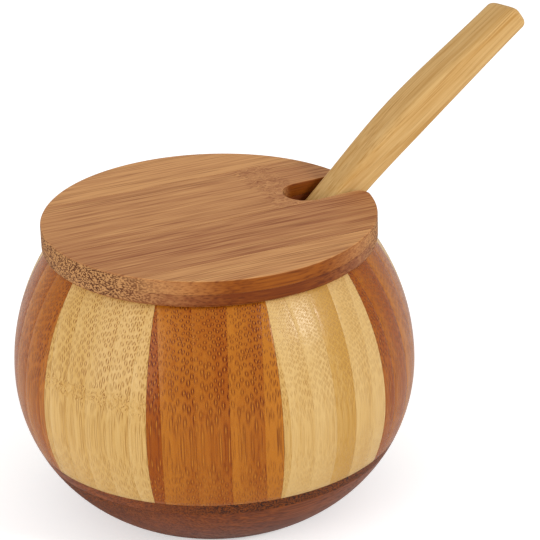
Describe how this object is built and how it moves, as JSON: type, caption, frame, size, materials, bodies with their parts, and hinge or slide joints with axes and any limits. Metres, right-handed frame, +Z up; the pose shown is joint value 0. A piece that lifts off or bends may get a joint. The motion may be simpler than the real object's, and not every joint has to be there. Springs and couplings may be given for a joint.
{
  "type": "salt pot",
  "caption": "Round bamboo salt pot of glued staves on a laminated base, with a flat lift-off lid and a wooden spoon that leans out through the lid's notch.",
  "frame": {"origin": "the middle of the flat foot, on the surface that the pot stands on", "axes": "+Z up along the bowl's axis, +X out through the lid's notch, along the way that the spoon leans"},
  "size_m": [0.1527, 0.11, 0.1242],
  "materials": {
    "light_bamboo": "satin lacquered bamboo, natural, end grain and fibre bundles showing",
    "dark_bamboo": "satin lacquered bamboo, carbonised, fibre bundles showing",
    "base_bamboo": "satin lacquered bamboo, dark carbonised",
    "lid_bamboo": "matt oiled bamboo, carbonised, long grain",
    "spoon_bamboo": "smooth matt bamboo"
  },
  "bodies": {
    "bowl": {"stave_01": "dark_bamboo", "stave_02": "light_bamboo", "stave_03": "dark_bamboo", "stave_04": "light_bamboo", "stave_05": "dark_bamboo", "stave_06": "light_bamboo", "stave_07": "dark_bamboo", "stave_08": "light_bamboo", "stave_09": "dark_bamboo", "stave_10": "light_bamboo", "base_upper_ply": "base_bamboo", "base_core": "base_bamboo", "base_lower_ply": "base_bamboo"},
    "lid": {"lid_strip_front": "lid_bamboo", "lid_strip_mid_front": "lid_bamboo", "lid_strip_mid_back": "lid_bamboo", "lid_strip_back": "lid_bamboo", "lid_lower_ply": "lid_bamboo", "lid_plug": "lid_bamboo"},
    "spoon": {"spoon": "spoon_bamboo"}
  },
  "joints": [
    {"name": "lid_lift", "type": "slide", "parent": "bowl", "child": "lid", "axis": [0, 0, 1], "range_m": [0, 0.06]},
    {"name": "spoon_slide", "type": "slide", "parent": "bowl", "child": "spoon", "axis": [0.6428, 0, 0.766], "range_m": [0, 0.03]}
  ]
}
